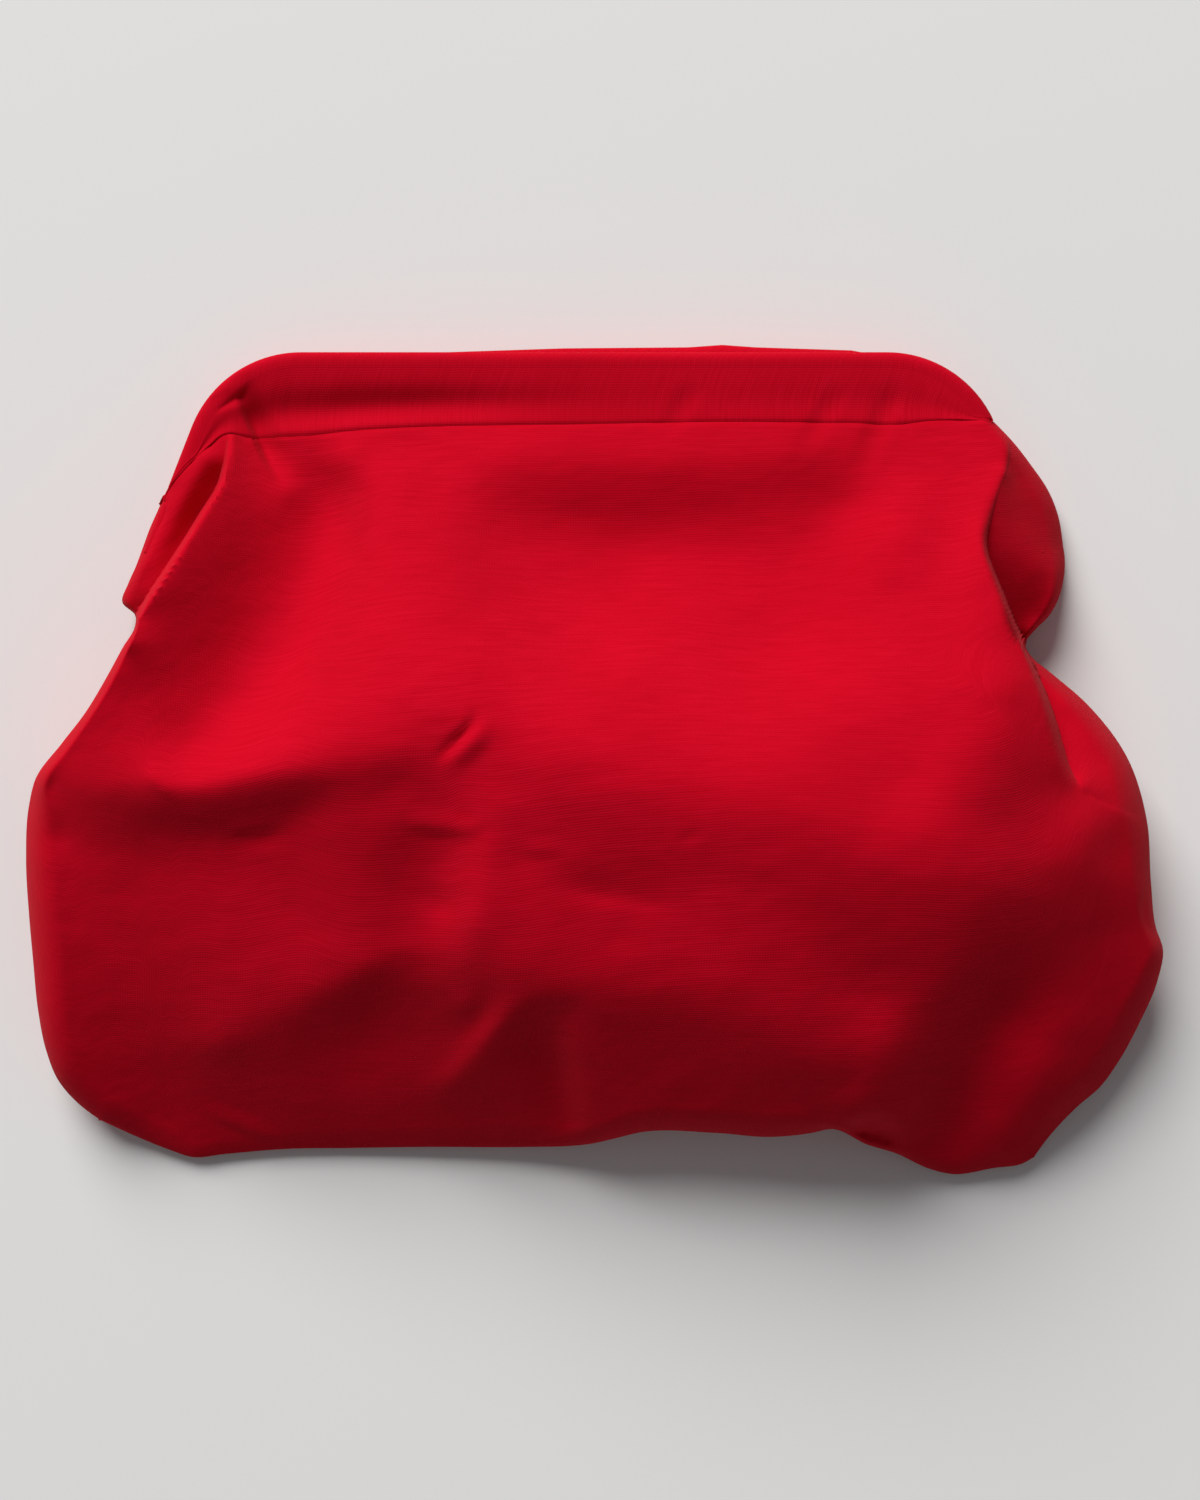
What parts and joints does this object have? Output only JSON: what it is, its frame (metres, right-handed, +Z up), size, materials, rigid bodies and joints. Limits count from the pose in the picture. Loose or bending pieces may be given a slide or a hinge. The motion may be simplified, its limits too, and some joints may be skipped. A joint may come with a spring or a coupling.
{
  "type": "clutch bag",
  "caption": "Soft cotton clutch bag lying on its back, with a lined pouch gathered onto a hidden hinged frame that opens the mouth.",
  "frame": {"origin": "on the table under the middle of the bag, which lies on its back", "axes": "+X across the bag to the right of the picture, +Y from the bottom fold to the mouth, +Z up off the table through the front panel"},
  "size_m": [0.3199, 0.2348, 0.0662],
  "materials": {
    "outer_cotton": "plain woven red cotton with a fused interlining",
    "lining_cotton": "thin plain woven cotton",
    "frame_steel": "plated steel rod"
  },
  "bodies": {
    "bag": {"front_panel": "outer_cotton", "back_panel": "outer_cotton", "front_lining": "lining_cotton", "back_lining": "lining_cotton", "back_casing": "outer_cotton", "back_frame": "frame_steel", "left_hinge_rivet": "frame_steel", "left_hinge_washer": "frame_steel", "right_hinge_rivet": "frame_steel", "right_hinge_washer": "frame_steel"},
    "front_half": {"front_casing": "outer_cotton", "front_frame": "frame_steel"}
  },
  "joints": [
    {"name": "frame_hinge", "type": "hinge", "parent": "bag", "child": "front_half", "pos_m": [0, 0.04563, 0.00989], "axis": [1, 0, 0], "range_deg": [0, 70]}
  ]
}
